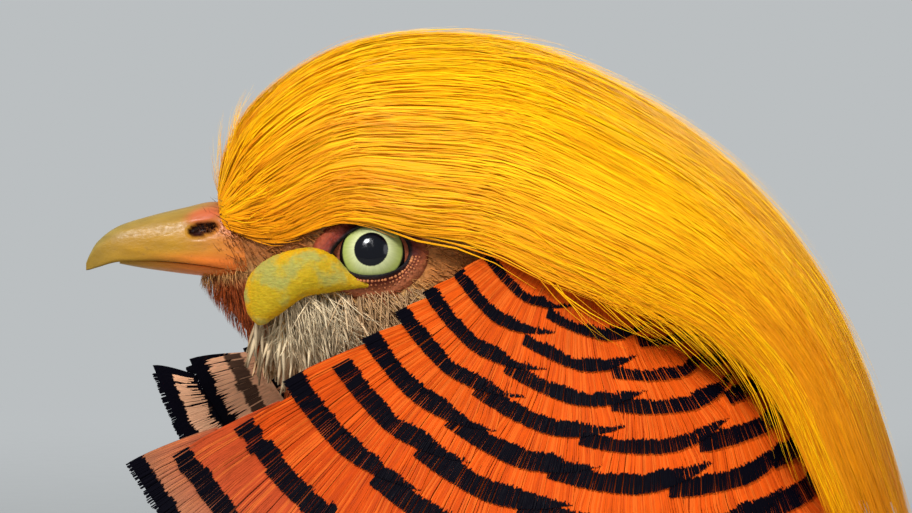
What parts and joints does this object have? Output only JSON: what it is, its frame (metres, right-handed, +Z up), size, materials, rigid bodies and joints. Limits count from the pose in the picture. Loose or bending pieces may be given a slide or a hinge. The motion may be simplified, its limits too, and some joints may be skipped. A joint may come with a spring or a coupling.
{
  "type": "golden pheasant",
  "caption": "Life-size male golden pheasant standing on both feet, with a silky crest, a barred fan of a cape on its neck, folded wings and a long tail whose tip rests on the ground",
  "frame": {"origin": "on the ground, under the middle of the bird's whole length from bill to tail tip", "axes": "+X runs from the bill towards the tail, so the bird faces -X; +Y is the bird's right side; +Z is up"},
  "size_m": [0.953, 0.1186, 0.3423],
  "materials": {
    "golden_feathers": "silky golden yellow feathers",
    "orange_feathers": "orange feathers with blue-black bars",
    "red_feathers": "soft scarlet feathers, green on the upper back and golden on the rump",
    "brown_feathers": "chestnut and dark brown wing feathers with buff bars",
    "tail_feathers": "cinnamon tail feathers mottled with black",
    "face": "buff and rusty short feathers over bare skin",
    "horn": "satin yellow horn",
    "eye": "wet, pale yellow-green with a dark pupil",
    "wattle": "soft bare yellow skin",
    "leg": "dull yellow scaled skin",
    "claw": "dark horn"
  },
  "bodies": {
    "root": {"head": "face", "bill_upper": "horn", "bill_lower": "horn", "eye_left": "eye", "eye_right": "eye", "wattle_left": "wattle", "wattle_right": "wattle", "crest": "golden_feathers", "cape": "orange_feathers", "neck": "red_feathers", "torso": "red_feathers", "wing_left": "brown_feathers", "wing_right": "brown_feathers", "tail": "tail_feathers", "thigh_left": "red_feathers", "thigh_right": "red_feathers", "shank_left": "leg", "shank_right": "leg", "foot_left": "leg", "foot_right": "leg", "claw_inner_left": "claw", "claw_inner_right": "claw", "claw_middle_left": "claw", "claw_middle_right": "claw", "claw_outer_left": "claw", "claw_outer_right": "claw", "claw_hind_left": "claw", "claw_hind_right": "claw"}
  },
  "joints": []
}
